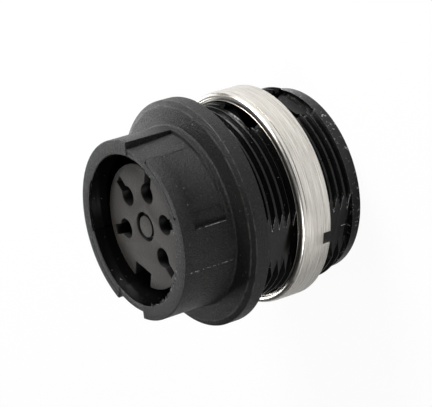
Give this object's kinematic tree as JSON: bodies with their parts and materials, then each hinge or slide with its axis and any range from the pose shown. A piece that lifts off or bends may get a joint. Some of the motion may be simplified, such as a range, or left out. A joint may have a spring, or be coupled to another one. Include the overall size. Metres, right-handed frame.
{
  "type": "circular panel receptacle",
  "caption": "Panel-mount circular connector receptacle: keyed plastic collar and flange, threaded shank with a metal ring nut, contact post inside.",
  "frame": {"origin": "centre of the rear end face, on the axis", "axes": "+Z along the axis towards the mating face; +Y through the narrow coding track; -Y through the key slot of the contact post"},
  "size_m": [0.0206, 0.0206, 0.0187],
  "materials": {
    "black_plastic": "fine grained moulded polyamide, satin, glossier on the thread",
    "grey_plastic": "fine matt moulded plastic, warm dark grey",
    "nickel": "satin nickel, brushed round the ring, bright edges",
    "seal_rubber": "matt black",
    "spring_steel": "bright spring steel",
    "contact_brass": "turned, thin gold plate"
  },
  "bodies": {
    "receptacle": {"shell": "black_plastic", "contact_carrier": "grey_plastic", "contact_retainer": "grey_plastic", "carrier_seal": "seal_rubber", "retaining_ring": "spring_steel", "contact_1": "contact_brass", "contact_2": "contact_brass", "contact_3": "contact_brass", "contact_4": "contact_brass", "contact_5": "contact_brass", "contact_hood_1": "spring_steel", "contact_hood_2": "spring_steel", "contact_hood_3": "spring_steel", "contact_hood_4": "spring_steel", "contact_hood_5": "spring_steel"},
    "nut": {"ring_nut": "nickel"}
  },
  "joints": [
    {"name": "nut_turn", "type": "hinge", "parent": "receptacle", "child": "nut", "pos_m": [0, 0, 0.0059], "axis": [0, 0, 1], "continuous": true}
  ]
}
